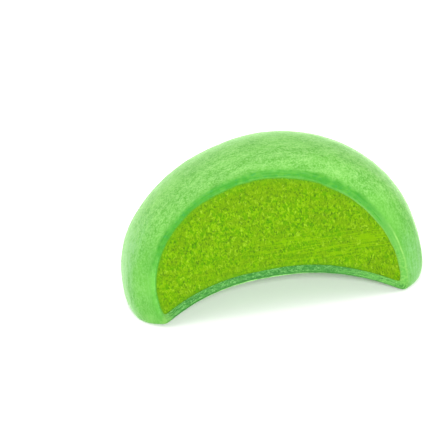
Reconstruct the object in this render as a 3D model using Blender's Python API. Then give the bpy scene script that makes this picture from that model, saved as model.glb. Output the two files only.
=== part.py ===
"""Mochi rice cake, cut open: a soft dough skin round a bean paste filling.

Sizes are in millimetres and the scene in metres. The cut face is a flat plane that looks along
-Y, and sections are named by their distance behind it. The piece rests on a flat foot at z = 0.
"""

import math

import bpy

MM = 0.001

# Sizes of the whole bun that the piece is cut from
HALF_WIDTH = 25.0
FRONT_RADIUS = 25.0
BACK_RADIUS = 22.0
CUT_AHEAD = 10.4
BELT_HEIGHT = 4.9
DOME_HEIGHT = 21.2
DOME_ROUNDNESS = 1.96
BELLY_DEPTH = 10.2
BELLY_ROUNDNESS = 3.0
DEPTH = CUT_AHEAD + BACK_RADIUS

# Soft, handmade shape: one flank fuller, the dome leaning a little, more so at the cut
TILT = 0.093
LEAN = -0.04
CUT_LEAN = -0.08

# Hollow under the piece, highest at the cut
ARCH_HEIGHT = 5.9
ARCH_HALF_WIDTH = 22.0
ARCH_CENTRE = -0.48
ARCH_ROUNDNESS = 2.27
ARCH_LENGTH = 20.0

# The sides are drawn in towards the cut
DRAW_LENGTH = 5.4
DRAW_SIDE = 2.25

# Dough skin, the gap that keeps the two solids apart, and how far off centre the filling sits
SKIN_TOP = 1.3
SKIN_SIDE = 0.9
SKIN_BASE = 1.7
GAP = 0.3
POCKET_SHIFT = -0.1
POCKET_LEAN = -0.013

# Mesh density and the rounding of the outline's corners
AROUND = 96
CORNER = 0.55
FINE = 4
CORNER_REACH = 8
CUT_LEVELS = (0.0, 0.7, 1.6, 2.8, 4.3, 6.1, 8.2)
BACK_STEPS = 11


class Layer:
    """One closed surface of the piece, set in from the outside by its own depths."""

    def __init__(self, top=0.0, side=0.0, base=0.0, shift=0.0, lean=0.0):
        self.half_width = HALF_WIDTH - side
        self.front = FRONT_RADIUS * self.half_width / HALF_WIDTH
        self.back = BACK_RADIUS - side
        self.dome = DOME_HEIGHT - top
        self.belly = BELLY_DEPTH - base
        self.foot = base
        self.shift = shift
        self.lean = lean

    def levels(self):
        """Distances of the sections behind the cut, closer together towards the back."""
        turns = [math.radians(88) * step / BACK_STEPS for step in range(BACK_STEPS + 1)]
        return list(CUT_LEVELS) + [CUT_AHEAD + self.back * math.sin(turn) for turn in turns]

    def heights(self, x, y, depth):
        """Upper and lower height of the surface at x in the section y behind the cut."""
        reach = min(1.0, math.hypot(x / self.half_width, depth))
        upper = BELT_HEIGHT + self.dome * (1 - reach**DOME_ROUNDNESS) ** (1 / DOME_ROUNDNESS)
        lower = BELT_HEIGHT - self.belly * (1 - reach**BELLY_ROUNDNESS) ** (1 / BELLY_ROUNDNESS)
        side = abs((x - ARCH_CENTRE) / ARCH_HALF_WIDTH)
        arch = ARCH_HEIGHT * (1 - side**ARCH_ROUNDNESS - (y / ARCH_LENGTH) ** 2)
        return upper, max(lower, self.foot, arch + self.foot)

    def outline(self, y):
        """Closed outline of the section y behind the cut, as evenly spaced (x, z)."""
        depth = (y - CUT_AHEAD) / (self.front if y < CUT_AHEAD else self.back)
        reach = self.half_width * math.sqrt(1 - depth * depth)
        samples = FINE * AROUND
        upper, lower = [], []
        for step in range(samples + 1):
            x = reach * math.cos(math.pi * step / samples)
            high, low = self.heights(x, y, depth)
            upper.append((x, high))
            lower.append((x, low))
        ring = upper[:-1] + lower[:0:-1]
        return rounded(spaced([self.drawn_in(x, z, y) for x, z in ring], samples))

    def drawn_in(self, x, z, y):
        """Moves a point of a section for the pull towards the cut, the tilt and the lean."""
        pull = max(0.0, 1 - y / DRAW_LENGTH) ** 2
        x *= 1 - pull * DRAW_SIDE / HALF_WIDTH
        rise = z - BELT_HEIGHT
        if rise > 0:
            rise *= 1 + TILT * x / HALF_WIDTH
        lean = LEAN + pull * CUT_LEAN + self.lean
        return x + lean * rise + self.shift, BELT_HEIGHT + rise


def spaced(ring, count):
    """The closed ring again, as `count` points at equal distances along it."""
    lengths = [0.0]
    for here, there in zip(ring, ring[1:] + ring[:1]):
        lengths.append(lengths[-1] + math.dist(here, there))
    points = []
    index = 0
    for step in range(count):
        goal = lengths[-1] * step / count
        while lengths[index + 1] < goal:
            index += 1
        part = (goal - lengths[index]) / (lengths[index + 1] - lengths[index])
        x0, z0 = ring[index]
        x1, z1 = ring[(index + 1) % len(ring)]
        points.append((x0 + part * (x1 - x0), z0 + part * (z1 - z0)))
    return points


def rounded(ring):
    """The fine ring thinned out, each point averaged with its neighbours to round the corners."""
    step = math.dist(ring[0], ring[1])
    near = range(-CORNER_REACH, CORNER_REACH + 1)
    weights = [math.exp(-0.5 * (offset * step / CORNER) ** 2) for offset in near]
    total = sum(weights)
    points = []
    for index in range(0, len(ring), FINE):
        group = [ring[(index + offset) % len(ring)] for offset in near]
        x = sum(weight * point[0] for weight, point in zip(weights, group)) / total
        z = sum(weight * point[1] for weight, point in zip(weights, group)) / total
        points.append((x, z))
    return points


def pocket_layer(gap):
    """Surface of the pocket for the filling, or one set in from it by a gap."""
    return Layer(SKIN_TOP + gap, SKIN_SIDE + gap, SKIN_BASE + gap, POCKET_SHIFT, POCKET_LEAN)


def placed(x, y, z):
    """Scene position, in metres, of a point y behind the cut."""
    return x * MM, (y - DEPTH / 2) * MM, z * MM


class Body:
    """Vertices and faces of one closed solid, gathered surface by surface."""

    def __init__(self):
        self.vertices = []
        self.faces = []

    def add_surface(self, layer, outward):
        """Adds the surface of a layer from the cut to its back; returns the ring at the cut."""
        rings = []
        for y in layer.levels():
            rings.append(range(len(self.vertices), len(self.vertices) + AROUND))
            self.vertices += [placed(x, y, z) for x, z in layer.outline(y)]
        for ring, behind in zip(rings, rings[1:]):
            for corners in self.around(ring, behind):
                self.add_face(corners, outward)
        self.vertices.append(placed(layer.shift, CUT_AHEAD + layer.back, BELT_HEIGHT))
        pole = len(self.vertices) - 1
        for index, here in enumerate(rings[-1]):
            self.add_face((here, pole, rings[-1][(index + 1) % AROUND]), outward)
        return rings[0]

    def around(self, ring, other):
        for index in range(AROUND):
            after = (index + 1) % AROUND
            yield ring[index], other[index], other[after], ring[after]

    def add_face(self, corners, outward):
        self.faces.append(corners if outward else corners[::-1])

    def make(self, name, colour, roughness):
        """Makes the object, with a material of its own."""
        mesh = bpy.data.meshes.new(name)
        mesh.from_pydata(self.vertices, [], self.faces)
        mesh.update()
        material = bpy.data.materials.new(name)
        material.use_nodes = True
        shader = material.node_tree.nodes["Principled BSDF"]
        shader.inputs["Base Color"].default_value = (*colour, 1.0)
        shader.inputs["Roughness"].default_value = roughness
        mesh.materials.append(material)
        thing = bpy.data.objects.new(name, mesh)
        bpy.context.scene.collection.objects.link(thing)
        return thing


def build_skin():
    """Dough shell with a pocket that is open at the cut."""
    body = Body()
    outside = body.add_surface(Layer(), outward=True)
    pocket = body.add_surface(pocket_layer(0.0), outward=False)
    for corners in body.around(outside, pocket):
        body.add_face(corners, outward=False)
    return body.make("skin", (0.36, 0.72, 0.16), 0.7)


def build_filling():
    """Solid paste in the pocket, flush with the cut."""
    body = Body()
    rim = body.add_surface(pocket_layer(GAP), outward=True)
    body.add_face(tuple(rim), outward=True)
    return body.make("filling", (0.21, 0.5, 0.01), 0.6)


def main():
    for thing in list(bpy.data.objects):
        bpy.data.objects.remove(thing)
    bpy.context.scene.unit_settings.system = "METRIC"
    build_skin()
    build_filling()


main()
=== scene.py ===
"""Looks of a mochi rice cake, cut open: a starch-dusted dough skin round a grainy bean paste.

Sizes are in millimetres and the scene in metres, in the frame of the solids. Sections of the piece
are named by their distance behind the flat cut face.
"""

import math

import bpy
import numpy as np
from mathutils import Matrix, Vector, geometry, noise


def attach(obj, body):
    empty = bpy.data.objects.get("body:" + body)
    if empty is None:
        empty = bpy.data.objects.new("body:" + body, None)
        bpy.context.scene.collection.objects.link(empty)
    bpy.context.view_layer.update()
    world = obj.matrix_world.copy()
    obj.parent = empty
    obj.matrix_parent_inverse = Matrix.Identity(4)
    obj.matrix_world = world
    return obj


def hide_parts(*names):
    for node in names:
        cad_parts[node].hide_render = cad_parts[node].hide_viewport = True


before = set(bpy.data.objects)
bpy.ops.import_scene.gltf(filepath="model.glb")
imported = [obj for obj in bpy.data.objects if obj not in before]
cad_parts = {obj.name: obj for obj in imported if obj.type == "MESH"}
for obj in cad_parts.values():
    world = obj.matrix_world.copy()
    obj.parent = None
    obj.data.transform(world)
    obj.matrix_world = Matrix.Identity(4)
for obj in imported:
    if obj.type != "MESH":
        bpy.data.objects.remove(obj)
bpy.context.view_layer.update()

MM = 0.001

# Shape of the bun, the same as in the solids
HALF_WIDTH = 25.0
FRONT_RADIUS = 25.0
BACK_RADIUS = 22.0
CUT_AHEAD = 10.4
BELT_HEIGHT = 4.9
DOME_HEIGHT = 21.2
DOME_ROUNDNESS = 1.96
BELLY_DEPTH = 10.2
BELLY_ROUNDNESS = 3.0
DEPTH = CUT_AHEAD + BACK_RADIUS
TILT = 0.093
LEAN = -0.04
CUT_LEAN = -0.08
ARCH_HEIGHT = 5.9
ARCH_HALF_WIDTH = 22.0
ARCH_CENTRE = -0.48
ARCH_ROUNDNESS = 2.27
ARCH_LENGTH = 20.0
DRAW_LENGTH = 5.4
DRAW_SIDE = 2.25
SKIN_TOP = 1.3
SKIN_SIDE = 0.9
SKIN_BASE = 1.7
POCKET_SHIFT = -0.1
POCKET_LEAN = -0.013
CORNER = 0.55

# Mesh density; a turn is how far round the back the last section lies, in degrees
AROUND = 320
FINE = 4
CORNER_REACH = 24
SKIN_STEP = 0.45
SKIN_TURN = 89.2
EDGE_STEPS = 7
BAND_RINGS = 10
POCKET_LEVELS = 14
POCKET_SPREAD = 1.3
POCKET_TURN = 89.0
PASTE_TURN = 88.0
PASTE_GRID = 0.23
PASTE_JITTER = 0.3
PASTE_SEED = 12

# Fine shape of the skin: lumps and dimples, the rim of the cut and the band that shows there
LUMP = 0.16
LUMP_SIZE = 9.0
DIMPLE = 0.035
DIMPLE_SIZE = 1.9
EDGE_RADIUS = 0.4
RIM_WOBBLE = 0.07
RIM_WAVE = 1.4
BAND_DIP = 0.05
BAND_DRAG = 0.05
BAND_GRAIN = 0.9
BAND_SQUEEZE = (0.35, 1.0, 1.0)

# Border between skin and filling: its waves, the smaller ripples on them, and its sag
BORDER_WOBBLE = 0.14
BORDER_WAVE = 3.2
BORDER_RIPPLE = 1.3
BORDER_SAG = 0.2

# Fine shape of the paste. The middle of its cut face is (x, z). The paste goes under the skin's
# border, lies in from the pocket and behind the cut, and sinks along its rim. Its relief is
# (depth, size), and the fade is how far the rim's own colour reaches.
PASTE_MIDDLE = (0.0, 13.0)
PASTE_UNDERLAP = 0.12
PASTE_INSET = 0.05
PASTE_BEHIND = 0.03
PASTE_SUNK = 0.04
PASTE_RELIEF = ((0.09, 5.0), (0.045, 0.9), (0.035, 0.42))
PASTE_RELIEF_SEED = 8
PASTE_RIM_FADE = 0.45

# Camera, fitted to the photo, from a guessed distance
CAMERA_ELEVATION = 20.0
CAMERA_AZIMUTH = -4.6
CAMERA_ROLL = 7.05
CAMERA_DISTANCE = 450.0
PIXELS_PER_MM = 6.08
IMAGE_PIXELS = 441
AIM_BEHIND_CUT = 8.0
AIM_HEIGHT = 11.0
AIM_PIXEL = (269.0, 230.9)

# Light: even surroundings, a soft light above, one in front and one behind on the left
WORLD_LIGHT = 0.78
KEY_PLACE = (0.10, 0.16, 0.7)
KEY_SIZE = 0.5
KEY_POWER = 2.3
FRONT_PLACE = (-0.02, -0.80, 0.30)
FRONT_SIZE = 0.14
FRONT_POWER = 11.5
RIM_PLACE = (-0.62, 0.42, 0.5)
RIM_SIZE = 0.3
RIM_POWER = 2.8
LIGHT_AIM = (0.0, 0.0, 0.01)

# Floor
FLOOR_REACH = 4.0
FLOOR_COLOUR = (0.93, 0.93, 0.93, 1.0)


class Layer:
    """One closed surface of the piece, set in from the outside by its own depths."""

    def __init__(self, top=0.0, side=0.0, base=0.0, shift=0.0, lean=0.0):
        self.half_width = HALF_WIDTH - side
        self.front = FRONT_RADIUS * self.half_width / HALF_WIDTH
        self.back = BACK_RADIUS - side
        self.dome = DOME_HEIGHT - top
        self.belly = BELLY_DEPTH - base
        self.foot = base
        self.shift = shift
        self.lean = lean

    def outline(self, y):
        """Closed outline of the section y behind the cut, as evenly spaced rows of (x, z)."""
        depth = (y - CUT_AHEAD) / (self.front if y < CUT_AHEAD else self.back)
        turn = np.linspace(0, math.pi, AROUND * FINE)
        x = self.half_width * math.sqrt(max(0.0, 1 - depth * depth)) * np.cos(turn)
        reach = np.minimum(1.0, np.hypot(x / self.half_width, depth))
        upper = BELT_HEIGHT + self.dome * (1 - reach**DOME_ROUNDNESS) ** (1 / DOME_ROUNDNESS)
        lower = BELT_HEIGHT - self.belly * (1 - reach**BELLY_ROUNDNESS) ** (1 / BELLY_ROUNDNESS)
        side = np.abs((x - ARCH_CENTRE) / ARCH_HALF_WIDTH)
        arch = ARCH_HEIGHT * (1 - side**ARCH_ROUNDNESS - (y / ARCH_LENGTH) ** 2)
        lower = np.maximum(np.maximum(lower, self.foot), arch + self.foot)
        ring_x = np.concatenate([x[:-1], x[:0:-1]])
        ring_z = np.concatenate([upper[:-1], lower[:0:-1]])
        return rounded(spaced(self.drawn_in(ring_x, ring_z, y), AROUND * FINE))

    def drawn_in(self, x, z, y):
        """Moves the points of a section for the pull towards the cut, the tilt and the lean."""
        pull = max(0.0, 1 - y / DRAW_LENGTH) ** 2
        x = x * (1 - pull * DRAW_SIDE / HALF_WIDTH)
        rise = z - BELT_HEIGHT
        rise = np.where(rise > 0, rise * (1 + TILT * x / HALF_WIDTH), rise)
        lean = LEAN + pull * CUT_LEAN + self.lean
        return np.stack([x + lean * rise + self.shift, BELT_HEIGHT + rise], axis=1)


def pocket_layer(gap=0.0):
    """Surface of the pocket for the filling, or one set in from it by a gap."""
    return Layer(SKIN_TOP + gap, SKIN_SIDE + gap, SKIN_BASE + gap, POCKET_SHIFT, POCKET_LEAN)


def spaced(ring, count):
    """The closed ring again, as `count` points at equal distances along it."""
    closed = np.vstack([ring, ring[:1]])
    steps = np.hypot(*np.diff(closed, axis=0).T)
    lengths = np.concatenate([[0.0], np.cumsum(steps)])
    goals = np.arange(count) * lengths[-1] / count
    return np.stack([np.interp(goals, lengths, closed[:, axis]) for axis in (0, 1)], axis=1)


def rounded(ring):
    """The fine ring thinned to the mesh's points, its corners rounded by averaging."""
    step = math.dist(ring[0], ring[1])
    near = range(-CORNER_REACH, CORNER_REACH + 1)
    weights = [math.exp(-0.5 * (offset * step / CORNER) ** 2) for offset in near]
    blurred = sum(weight * np.roll(ring, -offset, axis=0) for weight, offset in zip(weights, near))
    return (blurred / sum(weights))[::FINE]


def at(ring, y):
    """The points of an outline as rows of (x, y, z), y behind the cut."""
    return np.column_stack([ring[:, 0], np.full(len(ring), y), ring[:, 1]])


def field(points, size, seed):
    """Smooth noise from -1 to 1 with features of about the given size."""
    shift = Vector((seed * 17.3, seed * -9.1, seed * 5.7))
    return np.array([noise.noise(Vector(point) / size + shift) for point in points])


def smooth(low, high, value):
    """Rises smoothly from 0 at low to 1 at high."""
    part = np.clip((value - low) / (high - low), 0, 1)
    return part * part * (3 - 2 * part)


def bridge(first, second):
    """Quads between two rings that start at the given vertex numbers."""
    faces = []
    for index in range(AROUND):
        after = (index + 1) % AROUND
        faces.append((first + index, second + index, second + after, first + after))
    return faces


def fan(first, pole):
    """Triangles between a ring that starts at the given vertex number and a pole."""
    return [(first + index, pole, first + (index + 1) % AROUND) for index in range(AROUND)]


def make_piece(name, points, faces, material, values, smooth_faces):
    """Makes a mesh object that rides on the part.

    The first faces, as many as told, are shaded smooth. Values are numbers per vertex, by name.
    """
    mesh = bpy.data.meshes.new(name)
    placed = (np.asarray(points) - (0, DEPTH / 2, 0)) * MM
    mesh.from_pydata(placed.tolist(), [], faces)
    mesh.materials.append(material)
    flat_faces = len(faces) - smooth_faces
    mesh.polygons.foreach_set("use_smooth", [True] * smooth_faces + [False] * flat_faces)
    for key, numbers in values.items():
        attribute = mesh.attributes.new(key, "FLOAT", "POINT")
        attribute.data.foreach_set("value", np.asarray(numbers, dtype=np.float32))
    mesh.update()
    piece = bpy.data.objects.new(name, mesh)
    bpy.context.scene.collection.objects.link(piece)
    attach(piece, "root")
    return piece


def facing_down(ring):
    """How far an outline faces down at each of its points: 1 straight down, -1 straight up."""
    along = np.roll(ring, -3, axis=0) - np.roll(ring, 3, axis=0)
    along /= np.linalg.norm(along, axis=1)[:, None]
    return along[:, 0]


def low_part(ring):
    """1 where an outline faces well down, and 0 on its sides and top."""
    return smooth(0.15, 0.7, facing_down(ring))


def from_middle(ring):
    """Directions from the middle of the paste to the points of an outline round it."""
    away = ring - np.array(PASTE_MIDDLE)
    return away / np.linalg.norm(away, axis=1)[:, None]


def border_outline():
    """Line on the cut where the skin meets the filling, a little uneven as in handmade dough."""
    ring = pocket_layer().outline(0.0)
    ring[:, 1] -= BORDER_SAG * smooth(0.3, 0.8, facing_down(ring))
    points = at(ring, 0.0)
    wobble = field(points, BORDER_WAVE, seed=4) + 0.5 * field(points, BORDER_RIPPLE, seed=5)
    return ring + from_middle(ring) * (BORDER_WOBBLE * wobble)[:, None]


def skin_levels():
    """Distances behind the cut of the skin's outer sections."""
    front = np.arange(EDGE_RADIUS, CUT_AHEAD, SKIN_STEP)
    count = round(BACK_RADIUS * math.pi / 2 / SKIN_STEP)
    turns = np.linspace(0, math.radians(SKIN_TURN), count)
    return np.concatenate([front, CUT_AHEAD + BACK_RADIUS * np.sin(turns)])


def ring_normals(rings):
    """Outward directions of a grid of points, one row of points per ring."""
    along = np.roll(rings, -1, axis=1) - np.roll(rings, 1, axis=1)
    behind = np.gradient(rings, axis=0)
    normals = np.cross(behind, along)
    return normals / np.maximum(np.linalg.norm(normals, axis=2, keepdims=True), 1e-9)


def lumpy(rings):
    """Pushes the skin in and out a little, less near the cut's edge and not at the foot."""
    points = rings.reshape(-1, 3)
    push = LUMP * field(points, LUMP_SIZE, seed=1) + DIMPLE * field(points, DIMPLE_SIZE, seed=2)
    push *= smooth(0.0, 3.0, points[:, 1]) * smooth(0.0, 2.5, points[:, 2])
    return rings + ring_normals(rings) * push.reshape(rings.shape[:2])[:, :, None]


def rounded_edge(edge, corner, inward):
    """Rings that round the rim of the cut, from the outside at `edge` into the cut plane."""
    start = at(edge, EDGE_RADIUS)
    middle = at(corner, 0.0)
    end = at(corner + inward * EDGE_RADIUS, 0.0)
    parts = np.arange(1, EDGE_STEPS + 1) / EDGE_STEPS
    return [(1 - t) ** 2 * start + 2 * t * (1 - t) * middle + t * t * end for t in parts]


def band_rings(corner, inward, width):
    """Rings across the cut skin, from its rounded rim to the filling, dipped and dragged a little."""
    rings = []
    for ring in range(1, BAND_RINGS + 1):
        part = ring / BAND_RINGS
        inset = EDGE_RADIUS + (width - EDGE_RADIUS) * part
        flat = at(corner + inward * inset[:, None], 0.0)
        dip = BAND_DIP * math.sin(math.pi * part)
        drag = BAND_DRAG * field(flat * BAND_SQUEEZE, BAND_GRAIN, seed=6)
        flat[:, 1] += dip + drag * math.sin(math.pi * min(1.0, part + 0.2))
        rings.append(flat)
    return rings


def pocket_rings(pocket, last_turn):
    """Sections of a surface in the pocket behind the cut, closer together at both ends."""
    rings = []
    for part in np.linspace(0.0, 1.0, POCKET_LEVELS)[1:] ** POCKET_SPREAD:
        y = (CUT_AHEAD + pocket.back) * math.sin(part * math.radians(last_turn))
        rings.append(at(pocket.outline(y), y))
    return rings


def skin_values(levels, last_outside, first_band, low):
    """Values per vertex: distance in from the outside, part across the band, and facing down."""
    count = len(levels)
    steps = np.linalg.norm(np.diff(np.array(levels), axis=0), axis=2)
    inset = np.vstack([np.zeros(AROUND), np.cumsum(steps, axis=0)])
    inset -= inset[last_outside]
    across = np.clip((np.arange(count) - first_band) / BAND_RINGS, 0.0, 1.0)
    tables = {"inset": inset.ravel(), "across": np.repeat(across, AROUND), "low": np.tile(low, count)}
    poles = [0, 0]
    return {key: np.append(table, poles) for key, table in tables.items()}


def build_skin(material):
    """Dough shell: rounded outside, the band that shows at the cut, and the pocket behind it."""
    skin = Layer()
    outside = lumpy(np.array([at(skin.outline(y), y) for y in skin_levels()]))[::-1]
    corner = skin.outline(0.0)
    corner[:, 1] += RIM_WOBBLE * field(at(corner, 0.0), RIM_WAVE, seed=3) * low_part(corner)
    inward = border_outline() - corner
    width = np.linalg.norm(inward, axis=1)
    inward /= width[:, None]
    edge = rounded_edge(skin.outline(EDGE_RADIUS), corner, inward)
    seen = [*outside, *edge, *band_rings(corner, inward, width)]
    levels = seen + pocket_rings(pocket_layer(), POCKET_TURN)
    first_band = len(outside) + len(edge) - 1
    values = skin_values(levels, len(outside) - 1, first_band, low_part(corner))
    last = (len(levels) - 1) * AROUND
    outer_pole = last + AROUND
    inner_pole = outer_pole + 1
    faces = fan(0, outer_pole)
    for level in range(len(levels) - 1):
        faces += bridge((level + 1) * AROUND, level * AROUND)
    faces += [corners[::-1] for corners in fan(last, inner_pole)]
    behind = DEPTH - SKIN_SIDE
    poles = [[0.0, DEPTH, BELT_HEIGHT], [POCKET_SHIFT, behind, BELT_HEIGHT]]
    points = np.concatenate([*levels, poles])
    piece = make_piece("dough_skin", points, faces, material, values, len(seen) * AROUND)
    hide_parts("skin")


def paste_face(border):
    """Triangles that fill the border on a jittered grid, as points (x, z) and faces."""
    low = border.min(axis=0)
    high = border.max(axis=0)
    rng = np.random.default_rng(PASTE_SEED)
    xs = np.arange(low[0], high[0], PASTE_GRID)
    zs = np.arange(low[1], high[1], PASTE_GRID)
    grid = np.stack(np.meshgrid(xs, zs), axis=2).reshape(-1, 2)
    grid += rng.uniform(-PASTE_JITTER, PASTE_JITTER, grid.shape) * PASTE_GRID
    grid = grid[inside(grid, border, PASTE_GRID * 0.5)]
    points = np.concatenate([border, grid])
    count = len(border)
    edges = [(index, (index + 1) % count) for index in range(count)]
    vectors = [Vector(point) for point in points]
    found = geometry.delaunay_2d_cdt(vectors, edges, [], 1, 1e-6)
    return np.array([tuple(vector) for vector in found[0]]), [tuple(face) for face in found[2]]


def inside(points, ring, margin):
    """Which points lie inside the ring and at least the margin away from it."""
    x, z = points[:, :1], points[:, 1:]
    x0, z0 = ring[:, 0][None], ring[:, 1][None]
    x1, z1 = np.roll(ring, -1, axis=0).T[:, None]
    crossing = (z0 > z) != (z1 > z)
    with np.errstate(divide="ignore", invalid="ignore"):
        where = x0 + (z - z0) * (x1 - x0) / (z1 - z0)
    within = (crossing & (x < where)).sum(axis=1) % 2 == 1
    near = np.hypot(x - x0, z - z0).min(axis=1)
    return within & (near > margin)


def rough_face(flat, near):
    """Points of the cut face with its relief, sunk a little along the rim."""
    face = at(flat, 0.0)
    relief = np.zeros(len(face))
    for seed, (depth, size) in enumerate(PASTE_RELIEF, start=PASTE_RELIEF_SEED):
        relief += depth * field(face, size, seed)
    sunk = PASTE_SUNK * (1 - smooth(0.0, 0.5, near))
    face[:, 1] = PASTE_BEHIND + relief * smooth(0.0, 0.4, near) + sunk
    return face


def build_paste(material):
    """Bean paste in the pocket, with a rough cut face."""
    border = border_outline()
    rim = border + from_middle(border) * PASTE_UNDERLAP
    flat, triangles = paste_face(rim)
    near = np.array([np.hypot(*(rim - point).T).min() for point in flat])
    face = rough_face(flat, near)
    faces = [corners[::-1] if faces_inward(flat, corners) else corners for corners in triangles]
    pocket = pocket_layer(PASTE_INSET)
    points = [face]
    first = 0
    total = len(face)
    for ring in pocket_rings(pocket, PASTE_TURN):
        points.append(ring)
        faces += bridge(first, total)
        first = total
        total += AROUND
    faces += fan(first, total)
    points.append([[POCKET_SHIFT, CUT_AHEAD + pocket.back, BELT_HEIGHT]])
    points = np.concatenate(points)
    unseen = np.zeros(len(points) - len(face))
    values = {"rim": np.append(np.exp(-near / PASTE_RIM_FADE), unseen)}
    piece = make_piece("bean_paste", points, faces, material, values, len(triangles))
    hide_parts("filling")


def faces_inward(points, triangle):
    """Whether the triangle's corners run clockwise as seen from in front of the cut."""
    a, b, c = (points[index] for index in triangle)
    return (b[0] - a[0]) * (c[1] - a[1]) - (b[1] - a[1]) * (c[0] - a[0]) < 0


# Sockets of a mix node that mixes colours
MIX_PART = 0
MIX_FIRST = 6
MIX_SECOND = 7
MIX_RESULT = 2


class Nodes:
    """Short ways to build one material's node tree."""

    def __init__(self, name):
        self.material = bpy.data.materials.new(name)
        self.material.use_nodes = True
        self.tree = self.material.node_tree
        self.shader = self.tree.nodes["Principled BSDF"]
        place = self.tree.nodes.new("ShaderNodeTexCoord")
        self.place = place.outputs["Object"]

    def link(self, value, socket):
        if isinstance(value, bpy.types.NodeSocket):
            self.tree.links.new(value, socket)
        else:
            socket.default_value = value

    def set(self, **values):
        """Sets the shader's sockets; an underscore in a name stands for a space."""
        for key, value in values.items():
            self.link(value, self.shader.inputs[key.replace("_", " ")])

    def stretched(self, x, y, z):
        """Object coordinates with features of the given sizes in millimetres."""
        node = self.tree.nodes.new("ShaderNodeMapping")
        self.link(self.place, node.inputs["Vector"])
        node.inputs["Scale"].default_value = (1 / (x * MM), 1 / (y * MM), 1 / (z * MM))
        return node.outputs["Vector"]

    def noise(self, size, detail=2.0, roughness=0.5, distortion=0.0):
        """Noise from 0 to 1; size is in millimetres, or one size per axis, or a vector."""
        if isinstance(size, (int, float)):
            size = (size, size, size)
        vector = self.stretched(*size) if isinstance(size, tuple) else size
        node = self.tree.nodes.new("ShaderNodeTexNoise")
        self.link(vector, node.inputs["Vector"])
        node.inputs["Scale"].default_value = 1.0
        node.inputs["Detail"].default_value = detail
        node.inputs["Roughness"].default_value = roughness
        node.inputs["Distortion"].default_value = distortion
        return node.outputs["Fac"]

    def along_rim(self, length, width):
        """Vector for streaks of the given length and width that follow the rim of the cut."""
        node = self.tree.nodes.new("ShaderNodeCombineXYZ")
        self.link(self.times(self.axis("X"), 1 / length), node.inputs["X"])
        self.link(self.times(self.axis("Z"), 1 / length), node.inputs["Y"])
        self.link(self.times(self.attribute("inset"), 1 / width), node.inputs["Z"])
        return node.outputs["Vector"]

    def spots(self, size, radius, share):
        """1 inside small round spots, which a share of the cells of the given size have."""
        node = self.tree.nodes.new("ShaderNodeTexVoronoi")
        self.link(self.stretched(size, size, size), node.inputs["Vector"])
        node.inputs["Scale"].default_value = 1.0
        spot = self.ramp(node.outputs["Distance"], radius * 0.8, radius * 1.5, 1.0, 0.0)
        chosen = self.math("LESS_THAN", node.outputs["Color"], share)
        return self.times(spot, chosen)

    def blend(self, part, first, second):
        """Number from first to second as part goes from 0 to 1."""
        return self.math("MULTIPLY_ADD", part, self.minus(second, first), first)

    def attribute(self, name):
        node = self.tree.nodes.new("ShaderNodeAttribute")
        node.attribute_name = name
        return node.outputs["Fac"]

    def axis(self, name):
        """One object coordinate, in millimetres."""
        node = self.tree.nodes.new("ShaderNodeSeparateXYZ")
        self.link(self.place, node.inputs["Vector"])
        return self.times(node.outputs[name], 1 / MM)

    def math(self, operation, first, second=0.0, third=0.0):
        node = self.tree.nodes.new("ShaderNodeMath")
        node.operation = operation
        for value, socket in zip((first, second, third), node.inputs):
            self.link(value, socket)
        return node.outputs["Value"]

    def plus(self, first, second):
        return self.math("ADD", first, second)

    def minus(self, first, second):
        return self.math("SUBTRACT", first, second)

    def times(self, first, second):
        return self.math("MULTIPLY", first, second)

    def ramp(self, value, low, high, start=0.0, end=1.0):
        """Smooth change from start to end as value goes from low to high."""
        node = self.tree.nodes.new("ShaderNodeMapRange")
        node.interpolation_type = "SMOOTHSTEP"
        limits = {"From Min": low, "From Max": high, "To Min": start, "To Max": end}
        for key, number in limits.items():
            node.inputs[key].default_value = number
        self.link(value, node.inputs["Value"])
        return node.outputs["Result"]

    def mix(self, part, first, second):
        """Colour from first to second as part goes from 0 to 1."""
        node = self.tree.nodes.new("ShaderNodeMix")
        node.data_type = "RGBA"
        node.clamp_factor = True
        for value, key in ((part, MIX_PART), (first, MIX_FIRST), (second, MIX_SECOND)):
            self.link((*value, 1.0) if isinstance(value, tuple) else value, node.inputs[key])
        return node.outputs[MIX_RESULT]

    def bump(self, height, depth, under=None):
        """Bump of the given depth in millimetres, over another bump if one is given."""
        node = self.tree.nodes.new("ShaderNodeBump")
        node.inputs["Distance"].default_value = depth * MM
        self.link(height, node.inputs["Height"])
        if under is not None:
            self.link(under, node.inputs["Normal"])
        return node.outputs["Normal"]


# Colours of the dough outside, where it is dusted with starch
DOUGH_DEEP = (0.057, 0.233, 0.021)
DOUGH_MID = (0.084, 0.283, 0.033)
STARCH = (0.193, 0.408, 0.109)
# Pale rim of the cut: starch colour and a painted highlight of the rounded edge.
RIM_STARCH_AND_HIGHLIGHT = (0.171, 0.360, 0.077)
DOUGH_COOL = (0.146, 0.342, 0.118)
DOUGH_SPECK = (0.042, 0.165, 0.014)

# Colours of the dough at the cut
BAND_DEEP = (0.029, 0.180, 0.011)
BAND_BLUE = (0.023, 0.174, 0.029)
BAND_MID = (0.049, 0.213, 0.017)
BAND_MINT = (0.069, 0.235, 0.034)
BAND_PALE = (0.110, 0.274, 0.047)
# Painted shade: dark green line where the cut skin meets the filling.
BAND_PAINTED_SHADE = (0.041, 0.180, 0.0015)
UNDER_DARK = (0.017, 0.109, 0.014)
UNDER_MID = (0.037, 0.163, 0.022)
UNDER_FLECK = (0.112, 0.285, 0.076)
UNDER_PALE = (0.140, 0.332, 0.076)
# Pale lower rim of the cut: starch colour and a painted highlight of the rounded edge.
UNDER_RIM_STARCH_AND_HIGHLIGHT = (0.233, 0.494, 0.136)

# Colours of the bean paste
PASTE_GREEN = (0.053, 0.167, 0.0002)
PASTE_YELLOW = (0.107, 0.229, 0.0002)
PASTE_BRIGHT = (0.182, 0.318, 0.016)
PASTE_DARK = (0.026, 0.078, 0.003)
PASTE_OLIVE = (0.086, 0.167, 0.0016)
PASTE_RIM = (0.053, 0.176, 0.004)


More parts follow.
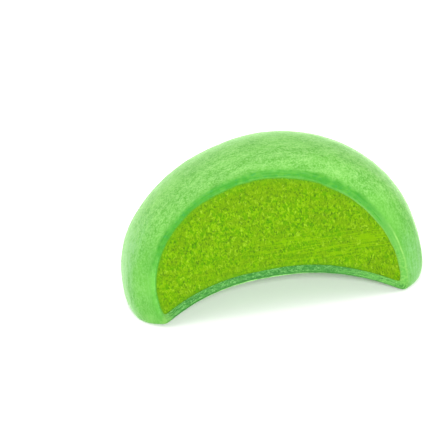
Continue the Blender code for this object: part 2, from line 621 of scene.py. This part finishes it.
def dust_and_painted_light(nodes, height, behind, powder, mottle, brushed):
    """How much starch colour the dough gets: more on top, partly dust and partly painted top light,
    and more at the foot; less beside the cut, and on the lower sides more towards the back as painted
    sheen.
    """
    # Painted top light: the starch colour grows with height, so the top is painted lighter than the
    # sides.
    starch_and_painted_light = nodes.ramp(height, 2.0, 24.0, 0.12, 0.4)
    starch_and_painted_light = nodes.plus(starch_and_painted_light, nodes.ramp(height, 1.0, 5.0, 0.3, 0.0))
    for grain, least, most in ((powder, -0.24, 0.34), (mottle, -0.1, 0.15), (brushed, -0.1, 0.16)):
        starch_and_painted_light = nodes.plus(starch_and_painted_light, nodes.ramp(grain, 0.35, 0.7, least, most))
    # Painted sheen: low on the sides the starch colour grows away from the cut, lightening the dough
    # near the silhouette.
    painted_sheen_sides = nodes.ramp(height, 12.0, 20.0, 1.0, 0.0)
    starch_and_painted_light = nodes.times(starch_and_painted_light, nodes.blend(painted_sheen_sides, 1.0, nodes.ramp(behind, 0.5, 7.0, 0.38, 1.5)))
    return nodes.times(starch_and_painted_light, nodes.ramp(nodes.attribute("inset"), -1.2, 0.1, 1.0, 0.6))


def thick_starch_and_painted_sheen(nodes, behind, powder, mottle, down):
    """Where the starch lies thicker, low on both sides of the cut and fading to the back; on the left
    the cool colour is also painted sheen beside the silhouette.
    """
    sideways = nodes.axis("X")
    height = nodes.plus(nodes.axis("Z"), nodes.times(nodes.minus(mottle, 0.5), 10.0))
    # Painted sheen: the left patch lightens the left lobe where its shading dips inside the bright
    # edge.
    left = nodes.ramp(sideways, -20.0, -17.0, 1.0, 0.0)
    left = nodes.times(left, nodes.ramp(behind, 1.8, 5.5, 0.15, 1.0))
    left = nodes.times(left, nodes.ramp(height, 10.0, 20.0, 1.0, 0.0))
    right = nodes.times(nodes.ramp(sideways, 19.5, 22.5), nodes.ramp(height, 4.0, 14.0, 1.0, 0.0))
    thick = nodes.times(nodes.plus(left, right), nodes.ramp(behind, 6.0, 18.0, 1.0, 0.0))
    thick = nodes.times(thick, nodes.ramp(down, 0.35, 0.6, 0.4, 1.0))
    return nodes.times(thick, nodes.ramp(powder, 0.35, 0.65, 0.55, 1.05))


def dusted_dough(nodes):
    """Colour and grain of the dusted outside, brushed along the top and down the sides, with painted
    top light and painted sheen in the starch colour.
    """
    height = nodes.axis("Z")
    behind = nodes.plus(nodes.axis("Y"), DEPTH / 2)
    patches = nodes.noise(5.0, detail=3, roughness=0.6)
    mottle = nodes.noise(1.1, detail=3, roughness=0.65)
    powder = nodes.noise(0.34, detail=2, roughness=0.7)
    along = nodes.noise((5.0, 1.2, 1.2), detail=3, roughness=0.6)
    down = nodes.noise((0.6, 1.2, 3.6), detail=3, roughness=0.65)
    brushed = nodes.blend(nodes.ramp(height, 12.0, 18.0), down, along)
    base = nodes.plus(nodes.times(patches, 0.6), nodes.times(brushed, 0.2))
    base = nodes.plus(base, nodes.times(powder, 0.2))
    colour = nodes.mix(nodes.ramp(base, 0.38, 0.6), DOUGH_DEEP, DOUGH_MID)
    # Starch dust, with painted top light and painted sheen in its amount.
    starch_and_painted_light = dust_and_painted_light(nodes, height, behind, powder, mottle, brushed)
    colour = nodes.mix(starch_and_painted_light, colour, STARCH)
    # Thicker cool starch, on the left partly painted sheen.
    colour = nodes.mix(thick_starch_and_painted_sheen(nodes, behind, powder, mottle, down), colour, DOUGH_COOL)
    specks = nodes.times(nodes.spots(3.1, 0.07, 0.4), 0.6)
    colour = nodes.mix(specks, colour, DOUGH_SPECK)
    return colour, nodes.plus(nodes.times(powder, 0.4), mottle)


def upper_band(nodes, across, sideways, streaks):
    """Colour of the cut skin over the filling, lighter and chalky down its right side, with painted
    shade in its outer part and along the filling.
    """
    blotches = nodes.noise(1.1, detail=2, roughness=0.6)
    left = nodes.ramp(sideways, -14.0, -6.0, 0.35, 1.0)
    light = nodes.times(nodes.ramp(blotches, 0.4, 0.66), left)
    colour = nodes.mix(light, BAND_DEEP, BAND_MID)
    colour = nodes.mix(nodes.ramp(streaks, 0.55, 0.65, 0.0, 0.7), colour, BAND_BLUE)
    ragged = nodes.plus(across, nodes.times(blotches, 0.5))
    lines = nodes.noise(nodes.along_rim(5.0, 0.22), detail=2, roughness=0.6)
    mint = nodes.times(nodes.ramp(lines, 0.54, 0.66, 0.0, 0.4), left)
    colour = nodes.mix(mint, colour, BAND_MINT)
    colour = nodes.mix(nodes.ramp(lines, 0.32, 0.44, 0.7, 0.0), colour, BAND_DEEP)
    # Painted shade: the inner strip is lightened so the outer part of the band stays darker, as
    # painted shade under the rounded rim.
    lit_inner_strip = nodes.ramp(ragged, 0.75, 1.1, 0.0, 1.0)
    lit_inner_strip = nodes.times(lit_inner_strip, nodes.ramp(sideways, -10.0, 0.0, 0.0, 0.7))
    colour = nodes.mix(lit_inner_strip, colour, BAND_MINT)
    right = nodes.times(nodes.ramp(sideways, 14.0, 19.0), nodes.ramp(lines, 0.34, 0.5, 0.2, 0.9))
    colour = nodes.mix(right, colour, BAND_MINT)
    border = nodes.ramp(across, 0.65, 0.95)
    colour = nodes.mix(nodes.times(border, nodes.ramp(sideways, 10.0, 16.0)), colour, BAND_PALE)
    chalky = nodes.times(nodes.ramp(sideways, 17.0, 20.0), nodes.ramp(streaks, 0.44, 0.56))
    chalky = nodes.times(chalky, nodes.ramp(nodes.axis("Z"), 4.0, 12.0, 1.0, 0.2))
    colour = nodes.mix(chalky, colour, BAND_PALE)
    # Painted shade: a dark green line along the border with the filling, strongest on the left.
    painted_shade_line = nodes.times(border, nodes.ramp(sideways, 4.0, 14.0, 0.95, 0.3))
    return nodes.mix(painted_shade_line, colour, BAND_PAINTED_SHADE)


def under_band(nodes, inset, sideways, streaks):
    """Colour of the cut skin under the filling: greyer, flecked, with a pale rim of starch and
    painted highlight.
    """
    flecks = nodes.noise(nodes.along_rim(0.5, 0.26), detail=3, roughness=0.7, distortion=1.0)
    lines = nodes.noise(nodes.along_rim(3.0, 0.24), detail=3, roughness=0.6)
    right = nodes.ramp(sideways, 8.0, 17.0, 0.0, 0.8)
    base = nodes.plus(nodes.times(streaks, 0.5), nodes.times(lines, 0.5))
    colour = nodes.mix(nodes.ramp(base, 0.42, 0.58), UNDER_DARK, UNDER_MID)
    colour = nodes.mix(nodes.times(right, nodes.ramp(base, 0.4, 0.5)), colour, BAND_MINT)
    pale = nodes.mix(right, UNDER_FLECK, UNDER_PALE)
    colour = nodes.mix(nodes.ramp(flecks, 0.52, 0.62, 0.0, 0.9), colour, pale)
    line = nodes.times(nodes.ramp(inset, 0.5, 0.6), nodes.ramp(inset, 0.72, 0.95, 0.75, 0.0))
    colour = nodes.mix(line, colour, UNDER_DARK)
    # Painted highlight: the pale rim on the rounding is starch and a painted lit edge.
    rim = nodes.ramp(inset, 0.42, 0.52, 1.0, 0.0)
    rim = nodes.times(rim, nodes.ramp(sideways, 2.0, 9.0, 1.0, 0.2))
    rim = nodes.times(rim, nodes.ramp(nodes.noise(1.2, detail=3), 0.36, 0.56, 0.35, 1.0))
    colour = nodes.mix(rim, colour, UNDER_RIM_STARCH_AND_HIGHLIGHT)
    corner = nodes.ramp(sideways, -20.2, -17.2, 1.0, 0.0)
    corner = nodes.times(corner, nodes.ramp(streaks, 0.36, 0.6, 0.6, 1.0))
    return nodes.mix(corner, colour, BAND_PALE)


def cut_dough(nodes):
    """Colour and streaks of the damp dough at the cut."""
    across = nodes.attribute("across")
    sideways = nodes.axis("X")
    streaks = nodes.noise((0.7, 0.5, 0.34), detail=3, roughness=0.65)
    over = upper_band(nodes, across, sideways, streaks)
    under = under_band(nodes, nodes.attribute("inset"), sideways, streaks)
    return nodes.mix(nodes.attribute("low"), over, under), streaks


def bare_part(nodes):
    """How bare the dough is: 1 at the cut, less where starch has spread over the band's sides."""
    sideways = nodes.axis("X")
    low = nodes.attribute("low")
    ragged = nodes.minus(nodes.noise(0.9, detail=4, roughness=0.6), 0.5)
    start = nodes.plus(nodes.attribute("inset"), nodes.times(ragged, 0.8))
    start = nodes.plus(start, nodes.ramp(nodes.noise(4.0, detail=1), 0.35, 0.65, -0.18, 0.06))
    cut = nodes.blend(low, nodes.ramp(start, -0.35, 0.6), nodes.ramp(start, 0.0, 0.25))
    height = nodes.plus(nodes.axis("Z"), nodes.times(ragged, 9.0))
    left = nodes.ramp(sideways, -19.0, -15.0, 1.0, 0.0)
    right = nodes.ramp(sideways, 17.0, 21.0, 0.0, 0.25)
    spread = nodes.times(nodes.plus(left, right), nodes.ramp(height, 8.5, 15.0, 1.0, 0.0))
    spread = nodes.times(spread, nodes.minus(1.0, low))
    spread = nodes.times(spread, nodes.ramp(nodes.attribute("across"), 0.35, 0.8, 0.9, 0.1))
    return nodes.times(cut, nodes.minus(1.0, spread))


def right_rim_starch_and_highlight(nodes):
    """Thin pale line down the rim of the cut on the right: starch, and a painted highlight of the
    rounded edge.
    """
    wander = nodes.minus(nodes.noise((2.0, 2.0, 2.6), detail=2), 0.5)
    inset = nodes.plus(nodes.attribute("inset"), nodes.times(wander, 0.5))
    # Painted highlight: a pale line on the rounded rim, partly starch.
    line = nodes.times(nodes.ramp(inset, 0.12, 0.36), nodes.ramp(inset, 0.42, 0.70, 1.0, 0.0))
    strength = nodes.ramp(nodes.noise(1.6, detail=2), 0.35, 0.6, 0.25, 0.8)
    height = nodes.axis("Z")
    ends = nodes.times(nodes.ramp(height, 1.5, 3.5), nodes.ramp(height, 10.0, 13.0, 1.0, 0.0))
    right = nodes.ramp(nodes.axis("X"), 16.0, 19.0)
    return nodes.times(nodes.times(line, strength), nodes.times(ends, right))


def dough_material():
    """Matt green dough, dusted outside, bare and a little shinier at the cut."""
    nodes = Nodes("dough")
    bare = bare_part(nodes)
    dusted, grain = dusted_dough(nodes)
    cut, streaks = cut_dough(nodes)
    relief = nodes.bump(nodes.blend(bare, grain, streaks), 0.09)
    colour = nodes.mix(right_rim_starch_and_highlight(nodes), nodes.mix(bare, dusted, cut), RIM_STARCH_AND_HIGHLIGHT)
    nodes.set(Base_Color=colour, Normal=relief)
    nodes.set(Roughness=nodes.ramp(bare, 0.0, 1.0, 0.8, 0.5), IOR=1.38, Specular_IOR_Level=0.15)
    nodes.set(Sheen_Weight=0.34, Sheen_Roughness=0.32, Sheen_Tint=(0.72, 1.0, 0.62, 1.0))
    nodes.set(Subsurface_Weight=0.12, Subsurface_Radius=(0.5, 0.9, 0.3), Subsurface_Scale=MM)
    return nodes.material


def knife_marks(nodes, colour, height, sideways):
    """Adds the faint level streaks that the knife left low on the paste, mostly on the right."""
    where = nodes.times(nodes.ramp(height, 6.5, 8.5), nodes.ramp(height, 11.0, 14.0, 1.0, 0.0))
    where = nodes.times(where, nodes.ramp(sideways, -8.0, 4.0, 0.15, 1.0))
    knife = nodes.noise((6.0, 1.0, 0.26), detail=2)
    lines = nodes.times(nodes.ramp(knife, 0.52, 0.6, 0.0, 0.85), where)
    colour = nodes.mix(lines, colour, PASTE_YELLOW)
    grooves = nodes.times(nodes.ramp(knife, 0.36, 0.45, 0.7, 0.0), where)
    return nodes.mix(grooves, colour, PASTE_GREEN)


def paste_material():
    """Green bean paste: fine grain, olive patches, bright crumbs, dark specks and knife marks."""
    nodes = Nodes("bean_paste")
    height = nodes.axis("Z")
    sideways = nodes.axis("X")
    grain = nodes.noise((0.5, 1.0, 0.66), detail=3, roughness=0.65, distortion=0.9)
    fine = nodes.noise((0.27, 1.0, 0.5), detail=2, distortion=1.0)
    broad = nodes.noise((2.2, 2.2, 1.6), detail=3, roughness=0.65)
    colour = nodes.mix(nodes.ramp(grain, 0.4, 0.56), PASTE_GREEN, PASTE_YELLOW)
    shade = nodes.plus(nodes.ramp(height, 15.0, 22.0), nodes.ramp(sideways, 6.0, 15.0, 0.0, 0.6))
    shade = nodes.minus(broad, nodes.times(shade, 0.1))
    colour = nodes.mix(nodes.ramp(shade, 0.35, 0.6, 0.6, 0.0), colour, PASTE_OLIVE)
    colour = nodes.mix(nodes.ramp(grain, 0.56, 0.68, 0.0, 0.65), colour, PASTE_BRIGHT)
    colour = nodes.mix(nodes.ramp(fine, 0.3, 0.5, 0.75, 0.0), colour, PASTE_DARK)
    specks = nodes.times(nodes.spots(0.9, 0.14, 0.5), 0.7)
    colour = nodes.mix(specks, colour, PASTE_DARK)
    colour = knife_marks(nodes, colour, height, sideways)
    rim = nodes.times(nodes.attribute("rim"), nodes.ramp(sideways, 12.0, 18.0, 0.8, 0.1))
    colour = nodes.mix(rim, colour, PASTE_RIM)
    nodes.set(Base_Color=colour, Roughness=0.7, Normal=nodes.bump(grain, 0.2))
    nodes.set(IOR=1.4, Specular_IOR_Level=0.05)
    return nodes.material


def floor_material():
    """Plain pale table top."""
    nodes = Nodes("table_top")
    nodes.set(Base_Color=FLOOR_COLOUR, Roughness=0.85, Specular_IOR_Level=0.1)
    return nodes.material


def build_floor():
    """Plain pale floor, wide enough to fill the view."""
    reach = FLOOR_REACH
    mesh = bpy.data.meshes.new("floor")
    corners = [(-reach, -reach, 0), (reach, -reach, 0), (reach, reach, 0), (-reach, reach, 0)]
    mesh.from_pydata(corners, [], [(0, 1, 2, 3)])
    mesh.materials.append(floor_material())
    floor = bpy.data.objects.new("floor", mesh)
    bpy.context.scene.collection.objects.link(floor)


def add_area_light(name, place, size, power):
    """Soft square light at a place in metres that shines at the piece."""
    light = bpy.data.lights.new(name, "AREA")
    light.size = size
    light.energy = power
    lamp = bpy.data.objects.new(name, light)
    lamp.location = place
    forward = Vector(LIGHT_AIM) - Vector(place)
    lamp.rotation_euler = forward.to_track_quat("-Z", "Y").to_euler()
    bpy.context.scene.collection.objects.link(lamp)


def build_light():
    """Bright even surroundings and three soft lights."""
    world = bpy.data.worlds.new("studio")
    world.use_nodes = True
    background = world.node_tree.nodes["Background"]
    background.inputs["Color"].default_value = (1.0, 1.0, 1.0, 1.0)
    background.inputs["Strength"].default_value = WORLD_LIGHT
    bpy.context.scene.world = world
    add_area_light("key", KEY_PLACE, KEY_SIZE, KEY_POWER)
    add_area_light("front", FRONT_PLACE, FRONT_SIZE, FRONT_POWER)
    add_area_light("rim", RIM_PLACE, RIM_SIZE, RIM_POWER)
    bpy.context.scene.view_settings.view_transform = "Standard"


def build_camera():
    """Camera at the photo's angle: a little above the level, turned and rolled slightly."""
    camera = bpy.data.cameras.new("camera")
    view_width = IMAGE_PIXELS / PIXELS_PER_MM
    camera.lens = camera.sensor_width * CAMERA_DISTANCE / view_width
    camera.clip_start = 0.01
    camera.clip_end = 20.0
    azimuth = math.radians(CAMERA_AZIMUTH)
    elevation = math.radians(CAMERA_ELEVATION)
    level = math.cos(elevation)
    back = Vector((math.sin(azimuth) * level, -math.cos(azimuth) * level, math.sin(elevation)))
    turn = (-back).to_track_quat("-Z", "Y").to_matrix().to_4x4()
    turn = turn @ Matrix.Rotation(math.radians(-CAMERA_ROLL), 4, "Z")
    aim = Vector((0.0, (AIM_BEHIND_CUT - DEPTH / 2) * MM, AIM_HEIGHT * MM))
    right = (AIM_PIXEL[0] - IMAGE_PIXELS / 2) / PIXELS_PER_MM * MM
    down = (AIM_PIXEL[1] - IMAGE_PIXELS / 2) / PIXELS_PER_MM * MM
    offset = turn @ Vector((-right, down, 0.0))
    place = Matrix.Translation(aim + back * CAMERA_DISTANCE * MM + offset) @ turn
    holder = bpy.data.objects.new("camera", camera)
    holder.matrix_world = place
    bpy.context.scene.collection.objects.link(holder)
    bpy.context.scene.camera = holder


build_skin(dough_material())
build_paste(paste_material())
build_floor()
build_light()
build_camera()
